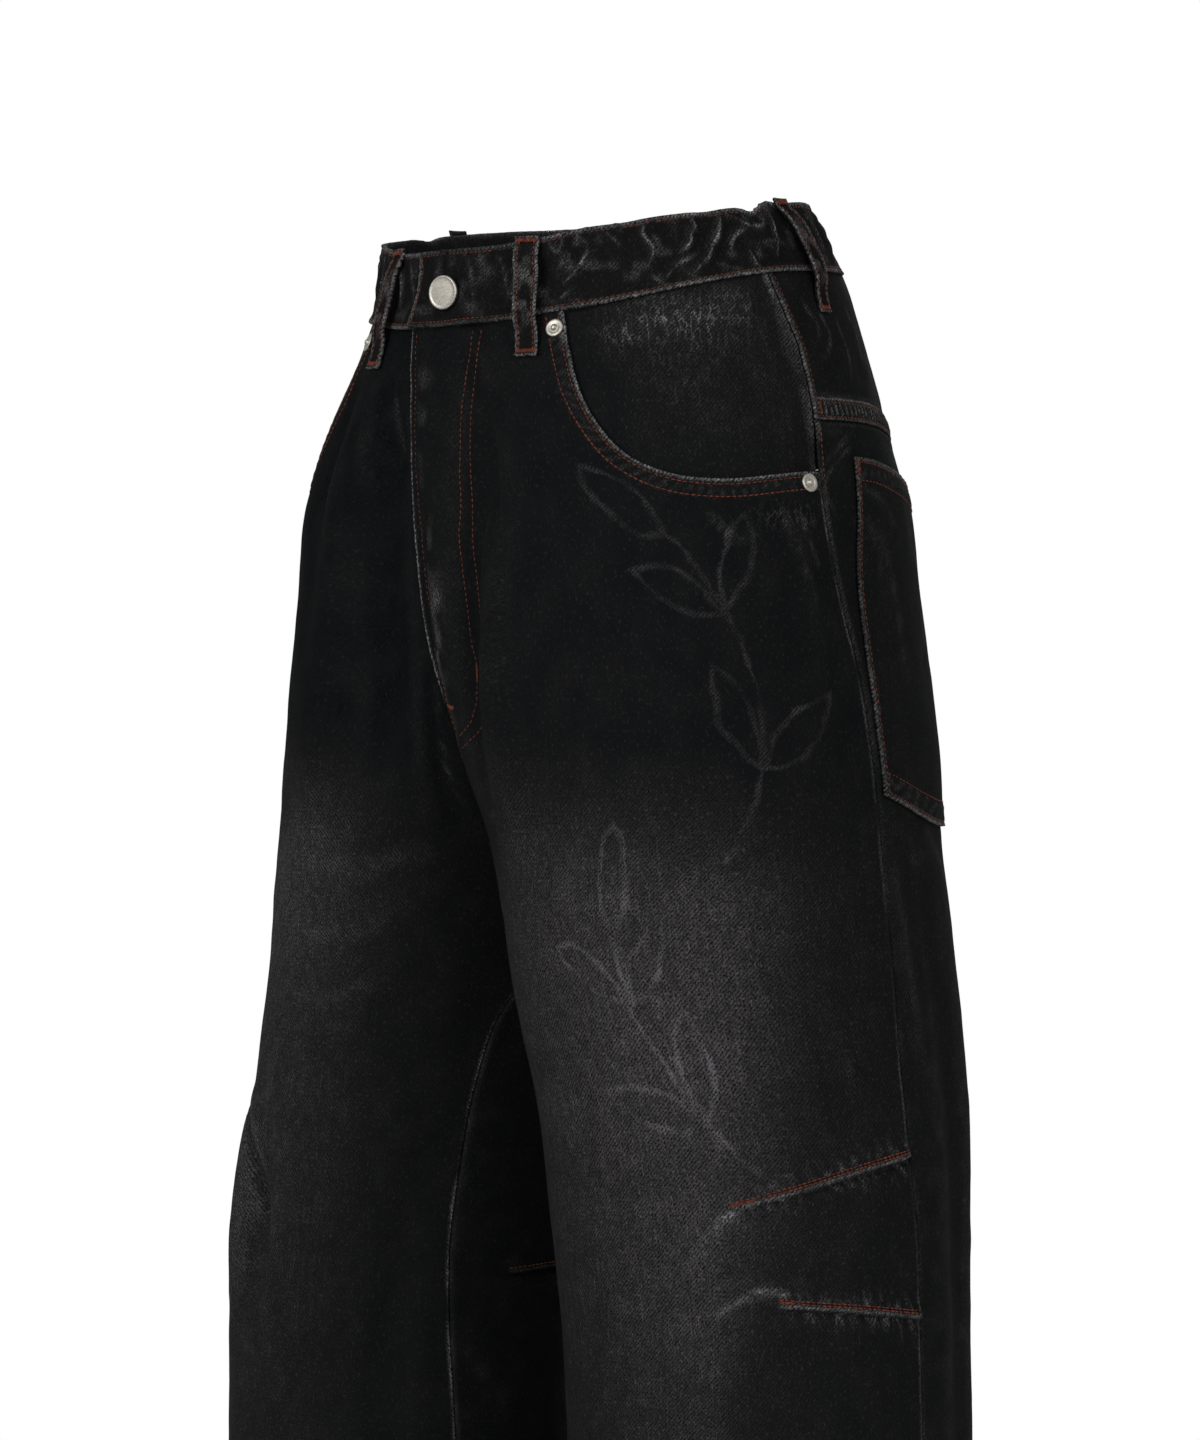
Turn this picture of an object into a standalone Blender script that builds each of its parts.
"""Wide leg jeans in their worn form. Metres, +Z up, the front faces -Y and the wearer's left is +X.

Each half is a stack of level sections round a leg: half an oval at the waist, a full loop below the crotch.
The centre plane cuts the loops above the crotch, which gives the curved crotch seams.
An angle of 0 degrees faces the front, 90 the outer side, 180 the back and 270 or -90 the inner side.
"""

import math

import bmesh
import bpy
import numpy as np

CM = 0.01
GAP = 0.0003  # between pieces at a seam, and under a piece that lies on another
WALL = 0.0013  # denim panel
BAND_WALL = 0.0024  # waistband, two layers
BAND_PROUD = 0.0009  # its face stands out from the panels below it
HEM = -1.02  # height of the open leg ends
HEM_FOLD = 0.026  # depth of the turned-up hem
HEM_WALL = 0.0024
CROTCH = -0.33
SEAM_TURN = 0.08  # half the seam gap, in degrees round the leg
FOLD_SCALE = 0.0019  # metres of cloth to one degree, for measuring folds
BUTTON_RADIUS = 0.0085
BUTTON_HEIGHT = 0.0048
BUTTON_SPOT = (0.0045, -0.0285)  # x and height of its centre on the tab
RIVET_RADIUS = 0.00465
RIVET_HEIGHT = 0.0021
LOOP_WALL = 0.0018
LOOP_WIDTH = 0.0135
LOOP_STAND = 0.0034  # belt space under a loop
LOOP_RISE = 0.0018  # a loop stands this far above the waistband
LOOP_DROP = 0.0205  # and ends this far below it
TURN_SCALE = 0.0022  # metres of waistband to one degree
TAB_END = 10.0  # degrees past the centre front, on the right
UNDERLAP_END = 5.0
SEAT_REST = 0.0006  # loops, button and rivets stand this far off the cloth under them
FACING_START = 25.8  # degrees at the facing's hidden inner edge
FACING_DEPTH = 0.012  # and its depth there
POCKET_STEP = 0.0022  # the facing lies this far under the pocket's edge
POCKET_REST = 0.0004  # the back pocket stands this far off its panel
FLY_REST = 0.0009  # and the fly edge this far off the right front
FLY_LOW = -0.238  # the fly edge is back at the centre plane here

# Sections, in centimetres. z is the height. cx and cy are the loop's centre. r_in and r_out are its reach
# to the inner and outer side. r_front and r_back are its depths. The last four are the squareness of its
# corners, where 2 is an ellipse: front inner, front outer, back outer and back inner.
SECTIONS = np.array([
    # z, cx, cy, r_in, r_out, r_front, r_back, fi, fo, bo, bi
    (2.0, 0.0, -1.30, 13.0, 12.50, 9.1, 9.2, 2.0, 2.0, 2.0, 2.0),
    (-2.0, 0.0, -0.13, 14.0, 13.50, 10.4, 10.4, 2.0, 2.0, 2.0, 2.0),
    (-5.0, 1.5, -0.15, 15.0, 12.40, 10.9, 11.0, 2.2, 2.1, 2.1, 2.2),
    (-9.0, 4.0, -0.70, 13.5, 11.55, 11.2, 11.8, 2.6, 2.0, 2.0, 2.4),
    (-13.0, 6.0, -1.00, 12.0, 10.65, 11.4, 12.4, 3.0, 2.0, 2.0, 2.6),
    (-18.0, 7.2, -0.95, 11.5, 9.65, 11.6, 12.6, 3.2, 2.0, 2.0, 2.6),
    (-22.0, 7.9, -0.70, 11.2, 9.45, 11.9, 12.5, 3.0, 2.0, 2.0, 2.4),
    (-26.0, 8.4, -0.45, 10.6, 9.40, 12.2, 12.4, 2.6, 2.0, 2.0, 2.2),
    (-30.0, 9.1, -0.30, 9.8, 9.00, 12.3, 12.1, 2.2, 2.0, 2.0, 2.0),
    (-33.0, 9.4, -0.25, 9.4, 9.00, 12.5, 12.3, 2.0, 2.0, 2.0, 2.0),
    (-36.0, 9.8, -0.20, 9.3, 9.20, 12.4, 12.2, 2.0, 2.0, 2.0, 2.0),
    (-43.0, 11.6, -0.60, 9.8, 9.80, 11.3, 11.2, 2.0, 2.0, 2.0, 2.0),
    (-52.0, 13.4, -1.60, 10.1, 10.10, 10.2, 10.2, 2.0, 2.0, 2.0, 2.0),
    (-60.0, 13.8, -1.60, 10.0, 10.00, 10.0, 10.0, 2.0, 2.0, 2.0, 2.0),
    (-80.0, 14.1, -1.20, 10.4, 10.40, 10.4, 10.4, 2.0, 2.0, 2.0, 2.0),
    (-102.0, 14.4, -0.80, 11.0, 11.00, 11.0, 11.0, 2.0, 2.0, 2.0, 2.0),
])
SECTIONS[:, :7] *= CM

# Waistband edges: degrees from the centre front, height of the top edge, height of the bottom edge, in cm.
WAIST = np.array([
    (0.0, -0.62, -4.50),
    (14.0, -0.57, -4.38),
    (28.0, -0.25, -4.05),
    (45.0, 0.32, -3.55),
    (65.0, 0.80, -2.65),
    (85.0, 1.22, -2.00),
    (105.0, 1.58, -1.75),
    (140.0, 1.85, -1.60),
    (180.0, 1.95, -1.55),
])
# Outseam and inseam: height in cm, degrees.
OUTSEAM = np.array([
    (0.0, 82.0), (-2.0, 83.5), (-5.0, 90.5), (-9.0, 92.5), (-13.0, 92.8), (-17.0, 97.0), (-21.0, 100.8),
    (-28.0, 101.6), (-36.0, 100.8), (-43.5, 95.6), (-48.0, 96.6), (-53.0, 96.2), (-60.0, 95.9),
    (-80.0, 95.5), (-102.0, 95.0),
])
INSEAM = np.array([
    (-33.0, -90.0), (-35.5, -77.0), (-38.5, -64.5), (-42.0, -59.5), (-48.0, -58.3), (-54.0, -60.0),
    (-60.5, -62.5), (-80.0, -66.0), (-102.0, -68.0),
])
# Pocket mouth: degrees, height in cm, and the share of the panel's width where that column ends up below.
MOUTH = np.array([
    (30.2, -4.01, 0.340), (30.5, -6.25, 0.375), (31.6, -8.10, 0.412), (34.3, -9.50, 0.455),
    (38.7, -10.80, 0.505), (43.9, -11.55, 0.560), (51.3, -12.10, 0.635), (59.1, -12.30, 0.715),
    (67.5, -12.30, 0.800), (76.2, -12.12, 0.880), (86.0, -11.90, 0.955), (92.7, -11.85, 1.000),
])
# Lower edge of the pocket facing, hidden under the front panel: degrees, height in cm.
FACING_EDGE = np.array([
    (25.8, -4.10), (25.9, -6.40), (26.9, -8.90), (30.2, -11.00), (35.8, -12.30), (42.6, -13.10),
    (51.0, -13.60), (60.0, -13.80), (68.0, -13.80), (76.5, -13.65), (86.0, -13.45), (92.4, -13.40),
])
# Yoke seam: share of the way from the outseam to the centre back, height in cm.
YOKE = np.array([(0.0, -9.28), (0.14, -9.30), (0.30, -9.46), (0.46, -9.86), (0.72, -10.60), (1.0, -11.40)])
# How far the left front's fly edge laps past the centre front: height in cm, lap in cm.
FLY_LAP = np.array([
    (-4.5, 2.15), (-9.0, 1.32), (-12.0, 0.88), (-15.0, 0.60), (-19.0, 0.33), (-21.6, 0.14), (-24.0, 0.0),
])
# Side edges of the back pocket, carried on down the panel: height in cm, degrees.
POCKET_OUTER = np.array([
    (-9.0, 104.6), (-11.2, 104.3), (-16.0, 103.2), (-22.0, 103.4), (-27.2, 103.0), (-35.0, 103.0),
    (-102.0, 101.5),
])
POCKET_INNER = np.array([
    (-9.0, 175.0), (-13.6, 176.5), (-20.0, 182.0), (-28.4, 191.0), (-36.0, 196.0), (-102.0, 208.0),
])
# A belt loop from its top to its bottom: share of its length, share of the belt space under it.
LOOP_SHAPE = np.array([
    (0.0, 0.0), (0.07, 0.05), (0.13, 0.5), (0.24, 1.0), (0.45, 1.0), (0.62, 0.9), (0.72, 0.62), (0.80, 0.2),
    (0.88, 0.0), (1.0, 0.0),
])
# Button and rivet, from the middle of the back to the middle of the front: shares of the radius and height.
BUTTON_PROFILE = np.array([
    (0.0, 0.0), (0.62, 0.0), (0.86, 0.34), (0.97, 0.5), (1.0, 0.68), (0.96, 0.9), (0.88, 1.0), (0.78, 0.96),
    (0.7, 0.86), (0.4, 0.84), (0.0, 0.84),
])
RIVET_PROFILE = np.array([
    (0.0, 0.0), (0.9, 0.0), (1.0, 0.25), (0.93, 0.55), (0.7, 0.6), (0.42, 0.5), (0.32, 0.95), (0.15, 1.0),
    (0.0, 1.0),
])
# Pocket rivets: name, degrees, height in cm.
RIVETS = (("upper", 27.5, -4.85), ("lower", 88.0, -12.46))
# Belt loops: side, 1 left, -1 right, 0 centre back, then degrees at the top and at the bottom.
LOOPS = (
    ("belt_loop_front_left", 1, 23.6, 23.7),
    ("belt_loop_front_right", -1, 22.9, 19.2),
    ("belt_loop_side_left", 1, 97.7, 101.8),
    ("belt_loop_side_right", -1, 97.7, 101.8),
    ("belt_loop_centre_back", 0, 180.0, 180.0),
)
# Largest folds. side is 1 left, -1 right, 0 both. high is in cm, below 0 for a trough, and wide is its
# half-width in cm. Then come the degrees and height in cm of its start, middle and end.
FOLDS = (
    # side, high, wide, start, middle, end
    (1, -1.15, 1.0, (6.0, -7.5), (-7.5, -17.0), (-18.0, -28.5)),  # beside the fly, left
    (1, 0.45, 1.9, (12.0, -8.0), (1.0, -17.5), (-10.0, -31.0)),  # thigh edge beside it
    (-1, -0.75, 1.2, (3.0, -7.0), (-10.0, -16.0), (-24.0, -27.0)),  # beside the fly, right
    (-1, 0.35, 2.2, (14.0, -8.0), (4.0, -18.0), (-8.0, -32.0)),  # thigh edge beside it
    (-1, -0.40, 1.3, (22.0, -6.5), (17.0, -13.0), (7.0, -21.0)),  # soft crease under the right pocket
    (1, -0.35, 1.6, (97.0, -10.0), (98.0, -19.0), (96.0, -29.0)),  # hollow along the left outseam
    (-1, -0.35, 1.6, (97.0, -10.0), (98.0, -19.0), (96.0, -29.0)),
    (0, -0.55, 1.5, (116.0, -31.0), (122.0, -46.0), (118.0, -66.0)),  # outer back of the leg
    (0, -0.60, 1.9, (205.0, -30.0), (196.0, -47.0), (203.0, -72.0)),  # under the seat
    (0, 0.50, 2.2, (168.0, -33.0), (160.0, -52.0), (165.0, -80.0)),
    (0, -0.45, 1.4, (-52.0, -42.0), (-40.0, -62.0), (-44.0, -88.0)),  # front inner side of the leg
    (0, -0.50, 1.5, (262.0, -37.0), (250.0, -58.0), (256.0, -90.0)),  # back inner side
    (-1, 0.55, 1.6, (31.0, -43.0), (20.0, -49.5), (24.0, -55.5)),  # knee bulge of the right leg
    (-1, -0.55, 1.2, (15.0, -43.5), (8.0, -50.0), (14.0, -56.0)),  # edge of that bulge
    (1, -0.30, 1.2, (60.0, -50.2), (42.0, -49.4), (24.0, -50.8)),  # between the left knee darts
    (0, -0.45, 1.7, (72.0, -58.0), (66.0, -76.0), (74.0, -101.0)),  # long drape folds to the hem
    (0, -0.45, 1.8, (8.0, -63.0), (15.0, -82.0), (8.0, -101.5)),
    (0, 0.40, 1.9, (142.0, -66.0), (136.0, -84.0), (141.0, -101.5)),
)


def smooth(x):
    x = np.clip(x, 0.0, 1.0)
    return x * x * (3.0 - 2.0 * x)


def cubic(x, xs, ys):
    """A smooth curve through the points of a short table, whose xs rise or fall."""
    xs = np.asarray(xs, float)
    ys = np.asarray(ys, float)
    x = np.asarray(x, float)
    if xs[0] > xs[-1]:
        xs = -xs
        x = -x
    step = np.diff(xs)
    rise = np.diff(ys) / step
    slope = np.empty(len(xs))
    slope[0] = rise[0]
    slope[-1] = rise[-1]
    slope[1:-1] = (rise[:-1] * step[1:] + rise[1:] * step[:-1]) / (step[1:] + step[:-1])
    i = np.clip(np.searchsorted(xs, x, side="right") - 1, 0, len(xs) - 2)
    h = step[i]
    t = np.clip((x - xs[i]) / h, -0.5, 1.5)
    a = (2 * t**3 - 3 * t**2 + 1) * ys[i] + (t**3 - 2 * t**2 + t) * h * slope[i]
    return a + (-2 * t**3 + 3 * t**2) * ys[i + 1] + (t**3 - t**2) * h * slope[i + 1]


def section(name, z):
    names = "z cx cy r_in r_out r_front r_back fi fo bo bi".split()
    return cubic(z, SECTIONS[:, 0], SECTIONS[:, names.index(name)])


def loop_point(az, z):
    """x and y of the left half's form, before folds."""
    s = np.sin(np.radians(az))
    c = np.cos(np.radians(az))
    front = c >= 0
    outer = s >= 0
    front_n = np.where(outer, section("fo", z), section("fi", z))
    back_n = np.where(outer, section("bo", z), section("bi", z))
    power = 2.0 / np.where(front, front_n, back_n)
    wide = np.where(outer, section("r_out", z), section("r_in", z))
    deep = np.where(front, section("r_front", z), section("r_back", z))
    x = section("cx", z) + wide * np.sign(s) * np.abs(s) ** power
    y = section("cy", z) - deep * np.sign(c) * np.abs(c) ** power
    return x, y


def centre_turn(z, corner):
    """How far round the inner side the centre plane cuts the loop, in degrees."""
    share = np.clip(section("cx", z) / section("r_in", z), 0.0, 1.0)
    return np.degrees(np.arcsin(np.clip(share ** (section(corner, z) / 2.0), 0.0, 1.0)))


def inner_front(z):
    """Angle of the front panel's inner edge: the centre front, then the inseam."""
    z = np.asarray(z, float)
    return np.where(z > CROTCH, -centre_turn(z, "fi"), cubic(z / CM, INSEAM[:, 0], INSEAM[:, 1]))


def inner_back(z):
    z = np.asarray(z, float)
    return np.where(z > CROTCH, 180.0 + centre_turn(z, "bi"), 360.0 + cubic(z / CM, INSEAM[:, 0], INSEAM[:, 1]))


def outseam(z):
    return cubic(np.asarray(z, float) / CM, OUTSEAM[:, 0], OUTSEAM[:, 1])


def fold_height(side, az, z):
    """Sum of the folds at these places, in metres."""
    total = np.zeros(np.shape(az))
    for fold_side, high, wide, start, middle, end in FOLDS:
        if fold_side not in (0, side):
            continue
        nearest = np.full(np.shape(az), 1e9)
        along = np.zeros(np.shape(az))
        for t in np.linspace(0.0, 1.0, 25):
            weights = ((1 - t) * (1 - 2 * t), 4 * t * (1 - t), t * (2 * t - 1))
            path_az = weights[0] * start[0] + weights[1] * middle[0] + weights[2] * end[0]
            path_z = weights[0] * start[1] + weights[1] * middle[1] + weights[2] * end[1]
            turn = (az - path_az + 180.0) % 360.0 - 180.0
            far = np.hypot(turn * FOLD_SCALE, z - path_z * CM)
            along = np.where(far < nearest, t, along)
            nearest = np.minimum(far, nearest)
        taper = np.sin(np.pi * along) ** 0.7
        total += high * CM * np.exp(-((nearest / (wide * CM)) ** 2)) * taper
    return total


def surface(side, az, z, lift):
    """Points of a half, moved out by lift. side is 1 for the wearer's left and -1 for the right."""
    az, z, lift = np.broadcast_arrays(np.asarray(az, float), np.asarray(z, float), np.asarray(lift, float))
    x, y = loop_point(az, z)
    xa, ya = loop_point(az + 0.5, z)
    xb, yb = loop_point(az - 0.5, z)
    xc, yc = loop_point(az, z + 0.002)
    xd, yd = loop_point(az, z - 0.002)
    around = np.stack([xa - xb, ya - yb, np.zeros_like(x)], -1)
    upward = np.stack([xc - xd, yc - yd, np.full_like(x, 0.004)], -1)
    out = np.cross(around, upward)
    out /= np.linalg.norm(out, axis=-1, keepdims=True)
    total = lift + fold_height(side, az, z) * smooth(x / 0.014)
    point = np.stack([x, y, z], -1) + out * total[..., None]
    return point * np.array([side, 1.0, 1.0])


def turn_at_x(x, z):
    """The front angle where the form is x from the centre plane."""
    cx = section("cx", z)
    inside = np.clip((cx - x) / section("r_in", z), 0.0, 1.0) ** (section("fi", z) / 2.0)
    outside = np.clip((x - cx) / section("r_out", z), 0.0, 1.0) ** (section("fo", z) / 2.0)
    return np.where(x < cx, -np.degrees(np.arcsin(inside)), np.degrees(np.arcsin(outside)))


def band_angle(turn, z):
    """turn runs from 0 at the centre front to 180 at the centre back."""
    first = inner_front(z)
    return first + (inner_back(z) - first) * turn / 180.0


def around_waist(turn, z, lift):
    """Points all round the waist: turn from 0 to 360, over the left side first."""
    turn = np.asarray(turn, float) % 360.0
    left = turn <= 180.0
    half = np.where(left, turn, 360.0 - turn)
    point = surface(1, band_angle(half, z), z, lift)
    point[..., 0] *= np.where(left, 1.0, -1.0)
    return point


def band_edge(turn, column):
    turn = np.asarray(turn, float) % 360.0
    half = np.where(turn <= 180.0, turn, 360.0 - turn)
    return cubic(half, WAIST[:, 0], WAIST[:, column]) * CM


def waist_seam(az):
    """Height of the waistband's bottom edge at an angle of the upper section."""
    az = np.asarray(az, float)
    z = np.full(az.shape, -0.025)
    for _ in range(12):
        first = inner_front(z)
        turn = np.clip((az - first) / (inner_back(z) - first) * 180.0, 0.0, 180.0)
        z = band_edge(turn, 2)
    return z


def material(name, colour, rough, metallic=0.0):
    made = bpy.data.materials.new(name)
    made.use_nodes = True
    shader = made.node_tree.nodes["Principled BSDF"]
    shader.inputs["Base Color"].default_value = (*colour, 1.0)
    shader.inputs["Roughness"].default_value = rough
    shader.inputs["Metallic"].default_value = metallic
    return made


def finish(name, mesh, kind):
    """Closes the body, turns its faces outwards and links it."""
    bmesh.ops.remove_doubles(mesh, verts=mesh.verts, dist=0.00004)
    bmesh.ops.dissolve_degenerate(mesh, edges=mesh.edges, dist=0.00002)
    bmesh.ops.recalc_face_normals(mesh, faces=mesh.faces)
    if mesh.calc_volume(signed=True) < 0:
        bmesh.ops.reverse_faces(mesh, faces=mesh.faces)
    data = bpy.data.meshes.new(name)
    mesh.to_mesh(data)
    mesh.free()
    for face in data.polygons:
        face.use_smooth = True
    made = bpy.data.objects.new(name, data)
    bpy.context.scene.collection.objects.link(made)
    made.data.materials.append(kind)
    return made


def shell(name, outer, inner, kind):
    """A closed wall between two grids of points of the same rows and columns."""
    mesh = bmesh.new()
    rows, columns = outer.shape[:2]
    face_out = [[mesh.verts.new(p) for p in row] for row in outer]
    face_in = [[mesh.verts.new(p) for p in row] for row in inner]
    for i in range(rows - 1):
        for j in range(columns - 1):
            a, b, c, d = (i, j), (i, j + 1), (i + 1, j + 1), (i + 1, j)
            mesh.faces.new([face_out[r][k] for r, k in (a, d, c, b)])
            mesh.faces.new([face_in[r][k] for r, k in (a, b, c, d)])
    rim = [(0, j) for j in range(columns)] + [(i, columns - 1) for i in range(1, rows)]
    rim += [(rows - 1, j) for j in range(columns - 2, -1, -1)] + [(i, 0) for i in range(rows - 2, 0, -1)]
    for (i, j), (m, n) in zip(rim, rim[1:] + rim[:1]):
        mesh.faces.new([face_out[i][j], face_out[m][n], face_in[m][n], face_in[i][j]])
    return finish(name, mesh, kind)


def wall_at(z):
    """Wall of a leg panel, doubled over the turned-up hem."""
    return WALL + (HEM_WALL - WALL) * smooth((HEM + HEM_FOLD - z) / 0.004)


def clear_centre(points, side, least):
    """Keeps a panel's inner edge half a seam gap away from the centre plane."""
    points[..., 0] = side * np.maximum(points[..., 0] * side, least)
    return points


# Heights of the rows that the front and back panels share, in cm. At the seams they meet point for point.
LEVELS = np.array([
    -14.0, -16.5, -19.0, -22.0, -24.6, -27.0, -29.2, -31.0, -32.4, -33.4, -35.0, -37.5, -41.0, -45.0,
    -48.5, -52.0, -56.0, -62.0, -70.0, -80.0, -91.0, -99.3, -99.8, -102.0,
]) * CM
# How far the rows of the back panel sink to follow the pocket: share across, top row, bottom row, in cm.
SINK = np.array([
    (0.0, 0.0, 0.0), (0.02, -0.05, -0.20), (0.11, -0.15, -1.10), (0.28, -0.75, -2.25), (0.46, -1.45, -2.30),
    (0.64, -2.20, -1.60), (0.80, -2.65, -1.20), (1.0, -2.80, -1.00),
])
# How much of each sink the first rows take, the pocket's top row being above them.
SINK_SHARES = (
    (0.45, 0.0), (0.2, 0.0), (0.05, 0.05), (0.0, 0.2), (0.0, 0.5), (0.0, 1.0), (0.0, 0.62), (0.0, 0.3),
    (0.0, 0.12),
)
POCKET_TOP = -0.11  # height of the pocket's top edge at its outer end
POCKET_COLUMNS = (1, 9)  # the back panel's columns and rows that the pocket lies on
POCKET_ROWS = (1, 7)
YOKE_START = 84.0  # degrees at the yoke's outer top corner


def front_grid():
    """Angles and heights of the front panel. Its first columns end at the waist, the others at the pocket."""
    inner = np.array([0.0, 0.13, 0.3, 0.48, 0.66, 0.84])
    start = float(inner_front(band_edge(0.0, 2)))
    top_az = np.concatenate([start + (MOUTH[0, 0] - start) * inner, MOUTH[:, 0]])
    top_z = np.concatenate([waist_seam(top_az[: len(inner)]), MOUTH[:, 1] * CM])
    top_z[len(inner)] = waist_seam(top_az[len(inner)])
    top_z = top_z - GAP
    low_share = np.concatenate([MOUTH[0, 2] * inner, MOUTH[:, 2]])
    down = np.array([0.0, 0.27, 0.53, 0.78])[:, None]
    upper = top_z[None, :] * (1.0 - down) + LEVELS[0] * down
    z = np.concatenate([upper, np.repeat(LEVELS[:, None], len(top_az), 1)])
    top_share = (top_az - inner_front(top_z)) / (outseam(top_z) - inner_front(top_z))
    settle = smooth((top_z[None, :] - z) / 0.09)
    share = top_share[None, :] * (1.0 - settle) + low_share[None, :] * settle
    share[:, 0] = 0.0
    share[:, -1] = 1.0
    first = inner_front(z) + SEAM_TURN * (z < CROTCH)
    return first + (outseam(z) - SEAM_TURN - first) * share, z


def back_grid():
    """Angles and heights of the back panel. Two rows and two columns follow the pocket's outline."""
    rough = np.array([0.0, 0.07, 0.13, 0.2, 0.28, 0.37, 0.46, 0.55, 0.64, 0.72, 0.81, 0.9, 1.0])
    top = cubic(rough, YOKE[:, 0], YOKE[:, 1]) * CM - GAP
    sink_top, sink_low = (cubic(rough, SINK[:, 0], SINK[:, k]) * CM for k in (1, 2))
    rows = [top, POCKET_TOP + sink_top]
    for k, level in enumerate(LEVELS):
        row = np.full(len(rough), level)
        if k < len(SINK_SHARES):
            row = row + SINK_SHARES[k][0] * sink_top + SINK_SHARES[k][1] * sink_low
        rows.append(row)
    z = np.stack(rows)
    first = outseam(z) + SEAM_TURN
    last = inner_back(z) - SEAM_TURN * (z < CROTCH)
    outer_edge = cubic(z / CM, POCKET_OUTER[:, 0], POCKET_OUTER[:, 1])
    outer_edge = np.maximum(outer_edge, first + 1.2)
    inner_edge = cubic(z / CM, POCKET_INNER[:, 0], POCKET_INNER[:, 1])
    start, end = POCKET_COLUMNS
    count = z.shape[1]
    az = np.empty_like(z)
    for j in range(count):
        if j <= start:
            az[:, j] = first[:, j] + (outer_edge[:, j] - first[:, j]) * (j / start)
        elif j <= end:
            part = (j - start) / (end - start)
            az[:, j] = outer_edge[:, j] + (inner_edge[:, j] - outer_edge[:, j]) * part
        else:
            part = (j - end) / (count - 1 - end)
            az[:, j] = inner_edge[:, j] + (last[:, j] - inner_edge[:, j]) * part
    return az, z


def fly_lift(x, z):
    """The left front rises over the right one at the fly."""
    return (WALL + FLY_REST) * smooth((0.024 - x) / 0.018) * smooth((z + 0.262) / 0.022)


def front_panel(side, kind):
    az, z = front_grid()
    base_x = loop_point(az, z)[0]
    lift = fly_lift(base_x, z) if side == 1 else np.zeros_like(z)
    outer = clear_centre(surface(side, az, z, lift), side, GAP / 2)
    inner = clear_centre(surface(side, az, z, lift - wall_at(z)), side, GAP / 2)
    if side == 1:
        outer, inner = add_fly_lap(az, z, outer, inner)
    shell("front_" + ("left" if side == 1 else "right"), outer, inner, kind)


def add_fly_lap(az, z, outer, inner):
    """The left front's fly edge, made from the right front's own points and moved out."""
    under = clear_centre(surface(-1, az, z, 0.0), -1, GAP / 2)
    out = clear_centre(surface(-1, az, z, 0.001), -1, GAP / 2) - under
    out /= np.linalg.norm(out, axis=-1, keepdims=True)
    lap = np.clip(cubic(z[:, 0] / CM, FLY_LAP[:, 0], FLY_LAP[:, 1]), 0.0, 3.0) * CM
    lap[z[:, 0] < FLY_LOW] = 0.0
    rise = fly_lift(np.zeros(len(lap)), z[:, 0])
    grids = []
    for grid, depth in ((outer, rise), (inner, rise - WALL)):
        columns = []
        for part in (1.0, 0.7, 0.36):
            column = grid[:, 0].copy()
            for i in np.flatnonzero(lap > 0.0):
                x = -lap[i] * part
                places = -under[i, :, 0]
                column[i] = [np.interp(-x, places, under[i, :, k] + out[i, :, k] * depth[i]) for k in range(3)]
                column[i, 0] = x
            columns.append(column)
        joined = np.concatenate([np.stack(columns, 1), grid], 1)
        joined[lap > 0.0, 3, 0] = 0.0
        grids.append(joined)
    return grids


def back_panel(side, kind):
    az, z = back_grid()
    outer = clear_centre(surface(side, az, z, 0.0), side, GAP / 2)
    inner = clear_centre(surface(side, az, z, -wall_at(z)), side, GAP / 2)
    shell("back_" + ("left" if side == 1 else "right"), outer, inner, kind)


def yoke(side, kind):
    """Its columns meet the back panel's point for point."""
    low_az = back_grid()[0][0]
    low_z = back_grid()[1][0] + GAP
    low_first = outseam(low_z) + SEAM_TURN
    share = (low_az - low_first) / (inner_back(low_z) - low_first)
    share[0] = 0.0
    share[-1] = 1.0
    high = waist_seam(YOKE_START + (180.0 - YOKE_START) * share) - GAP
    down = np.linspace(0.0, 1.0, 5)[:, None]
    z = high[None, :] * (1.0 - down) + low_z[None, :] * down
    first = outseam(z) + SEAM_TURN
    az = first + (inner_back(z) - first) * share[None, :]
    outer = clear_centre(surface(side, az, z, 0.0), side, GAP / 2)
    inner = clear_centre(surface(side, az, z, -WALL), side, GAP / 2)
    shell("yoke_" + ("left" if side == 1 else "right"), outer, inner, kind)


def facing(side, kind):
    low_az = FACING_EDGE[:, 0]
    low_z = FACING_EDGE[:, 1] * CM
    share = np.array([0.0, 0.06, 0.12, 0.19, 0.27, 0.36, 0.46, 0.57, 0.69, 0.8, 0.9, 1.0])
    top_az = FACING_START + (float(outseam(-0.021)) - FACING_START) * share
    top_z = waist_seam(top_az) - GAP
    low_z[0] = top_z[0] - FACING_DEPTH
    down = np.array([0.0, 0.22, 0.45, 0.66, 0.83, 1.0])[:, None]
    z = top_z[None, :] * (1.0 - down) + low_z[None, :] * down
    az = top_az[None, :] * (1.0 - down) + low_az[None, :] * down
    az[:, -1] = outseam(z[:, -1]) - 4.0 * SEAM_TURN
    mouth_z = np.interp(az, MOUTH[:, 0], MOUTH[:, 1]) * CM
    rise = smooth((z - mouth_z - 0.004) / 0.03) * smooth((az - 33.0) / 12.0)
    lift = -POCKET_STEP + (POCKET_STEP - 0.0002) * rise
    outer = surface(side, az, z, lift)
    inner = surface(side, az, z, lift - WALL)
    shell("pocket_facing_" + ("left" if side == 1 else "right"), outer, inner, kind)


def back_pocket(side, kind):
    """Made from the back panel's own points and moved out."""
    az, z = back_grid()
    block = (slice(POCKET_ROWS[0], POCKET_ROWS[1] + 1), slice(POCKET_COLUMNS[0], POCKET_COLUMNS[1] + 1))
    outer = surface(side, az[block], z[block], POCKET_REST + WALL)
    inner = surface(side, az[block], z[block], POCKET_REST)
    shell("back_pocket_" + ("left" if side == 1 else "right"), outer, inner, kind)


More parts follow.
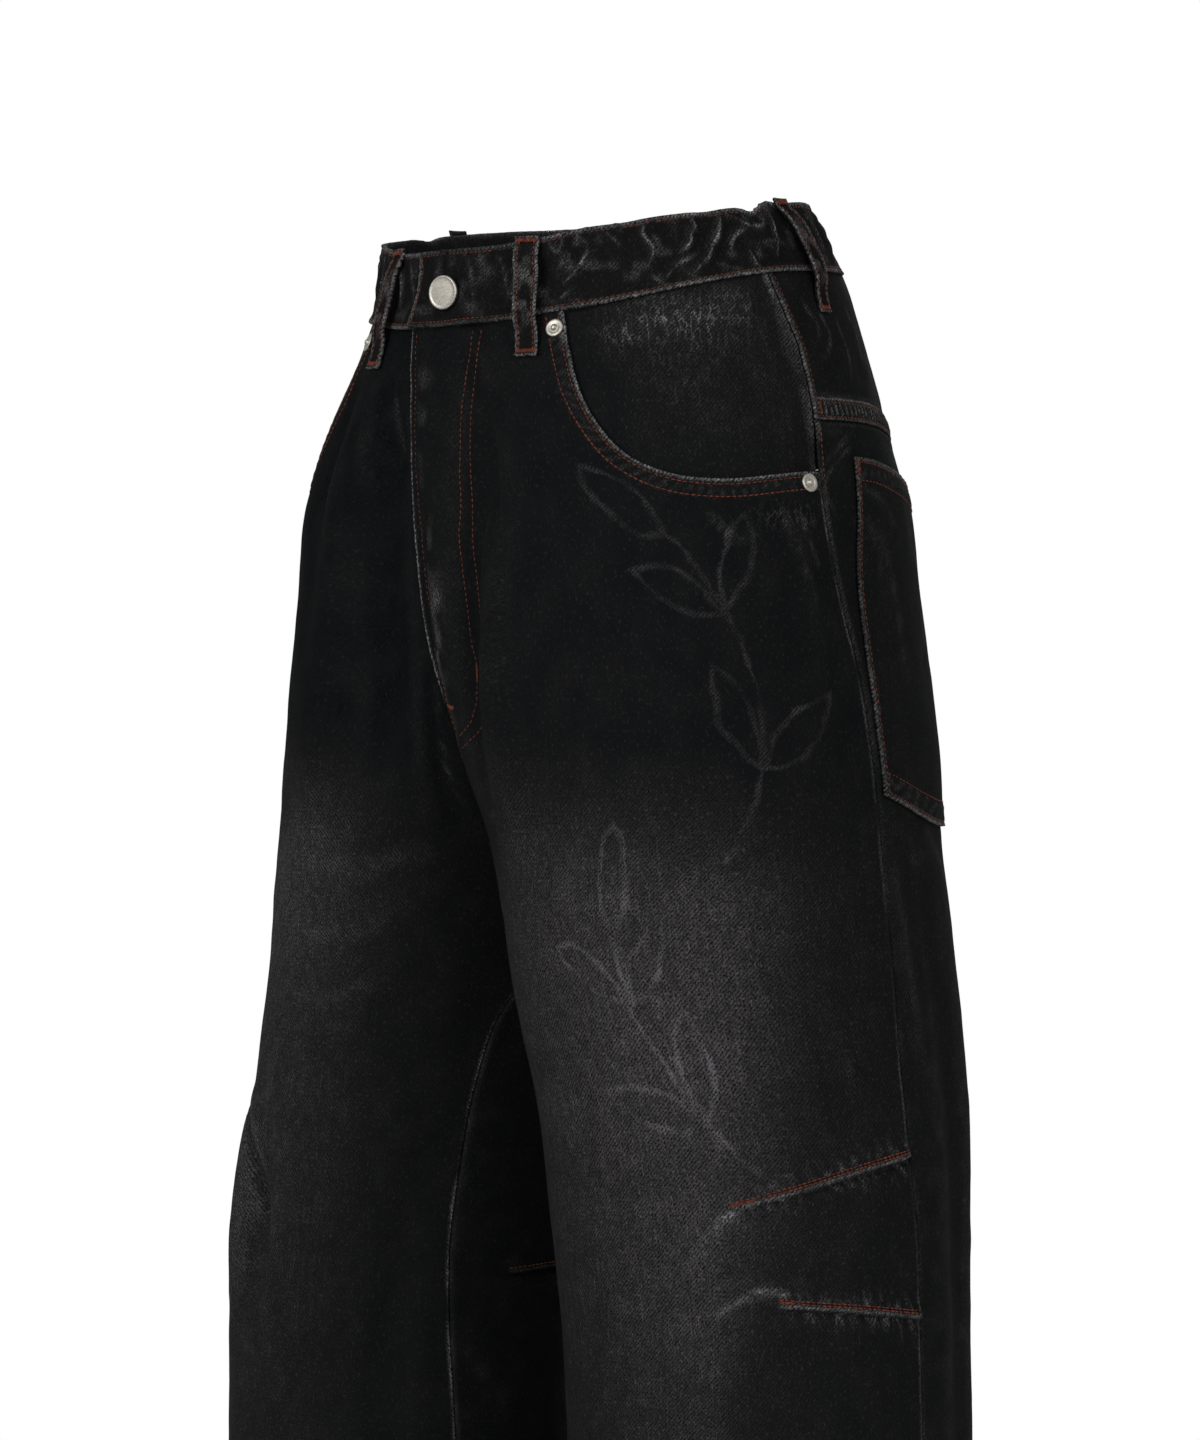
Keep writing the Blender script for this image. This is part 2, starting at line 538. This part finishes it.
def waistband(kind):
    """One ring, open at the front, whose left end laps over its right end as a tab."""
    turns = np.concatenate([
        [-TAB_END, -7.0, -3.5, 0.0, 2.5, UNDERLAP_END, 10.0, 15.0, 20.0],
        np.arange(26.0, 335.0, 6.8),
        [344.0, 360.0 - TAB_END, 353.0, 356.5, 360.0, 362.5, 360.0 + UNDERLAP_END],
    ])
    lapped = (BAND_WALL + GAP) * (1.0 - smooth((turns - 6.0) / 11.0))
    lapped[turns > 180.0] = 0.0
    down = np.array([0.0, 0.5, 1.0])[:, None]
    z = band_edge(turns, 1)[None, :] * (1.0 - down) + band_edge(turns, 2)[None, :] * down
    lift = BAND_PROUD + lapped[None, :] + 0.0 * z
    spread = np.broadcast_to(turns[None, :], z.shape)
    outer = around_waist(spread, z, lift)
    inner = around_waist(spread, z, lift - BAND_WALL)
    shell("waistband", outer, inner, kind)


def belt_loop(name, side, top_turn, low_turn, kind):
    """A strap from the waistband's top edge to below its seam, standing off in between for a belt."""
    top = float(band_edge(top_turn, 1)) + LOOP_RISE
    low = float(band_edge(low_turn, 2)) - LOOP_DROP
    drops, stand = LOOP_SHAPE.T
    z = top + (low - top) * drops
    rest = np.where(drops < 0.8, BAND_PROUD + GAP, SEAT_REST + 0.0004 * (drops < 0.85))
    under = rest + LOOP_STAND * stand
    grids = []
    for lift in (under + LOOP_WALL, under):
        columns = []
        for part in (-0.5, 0.0, 0.5):
            if side == 0:
                edge = inner_back(z)
                points = surface(1, edge, z, lift)
                points[:, 0] = LOOP_WIDTH * part
            else:
                turn = band_angle(top_turn + (low_turn - top_turn) * drops, z)
                points = surface(side, turn + side * part * LOOP_WIDTH / TURN_SCALE, z, lift)
            columns.append(points)
        grids.append(np.stack(columns, 1))
    shell(name, grids[0], grids[1], kind)


def spun(name, profile, place, out, kind, steps=28):
    """A round piece turned from a profile of radius and height, standing along out from place."""
    mesh = bmesh.new()
    points = [mesh.verts.new((radius, 0.0, height)) for radius, height in profile]
    edges = [mesh.edges.new(pair) for pair in zip(points, points[1:])]
    bmesh.ops.spin(
        mesh, geom=points + edges, cent=(0, 0, 0), axis=(0, 0, 1), angle=math.tau, steps=steps, use_merge=True
    )
    bmesh.ops.remove_doubles(mesh, verts=mesh.verts, dist=0.00002)
    up = np.array(out, float) / np.linalg.norm(out)
    across = np.cross((0.0, 0.0, 1.0), up)
    across /= np.linalg.norm(across)
    third = np.cross(up, across)
    for vertex in mesh.verts:
        a, b, c = vertex.co
        vertex.co = place + across * a + third * b + up * c
    return finish(name, mesh, kind)


def button(kind):
    profile = BUTTON_PROFILE * (BUTTON_RADIUS, BUTTON_HEIGHT)
    x, z = BUTTON_SPOT
    tab = BAND_PROUD + BAND_WALL + GAP
    place = around_waist(np.array([0.0]), np.array([z]), np.array([tab + SEAT_REST]))[0]
    near = around_waist(np.array([0.0]), np.array([z]), np.array([0.0]))[0]
    out = place - near
    out[0] = 0.0
    place[0] = x
    spun("button", profile, place, out, kind)


def rivets(kind):
    profile = RIVET_PROFILE * (RIVET_RADIUS, RIVET_HEIGHT)
    for side, word in ((1, "left"), (-1, "right")):
        for spot, az, z in RIVETS:
            here = surface(side, az, z * CM, SEAT_REST)
            out = here - surface(side, az, z * CM, -WALL)
            spun(f"rivet_{word}_{spot}", profile, here, out, kind, 20)


def build():
    for old in list(bpy.data.objects):
        bpy.data.objects.remove(old, do_unlink=True)
    denim = material("faded_black_denim", (0.02, 0.02, 0.022), 0.9)
    band = material("black_denim_double", (0.012, 0.012, 0.013), 0.9)
    steel = material("brushed_nickel", (0.75, 0.74, 0.72), 0.3, 1.0)
    for side in (1, -1):
        front_panel(side, denim)
        back_panel(side, denim)
        yoke(side, denim)
        facing(side, denim)
        back_pocket(side, denim)
    waistband(band)
    for name, side, top_turn, low_turn in LOOPS:
        belt_loop(name, side, top_turn, low_turn, band)
    button(steel)
    rivets(steel)


build()
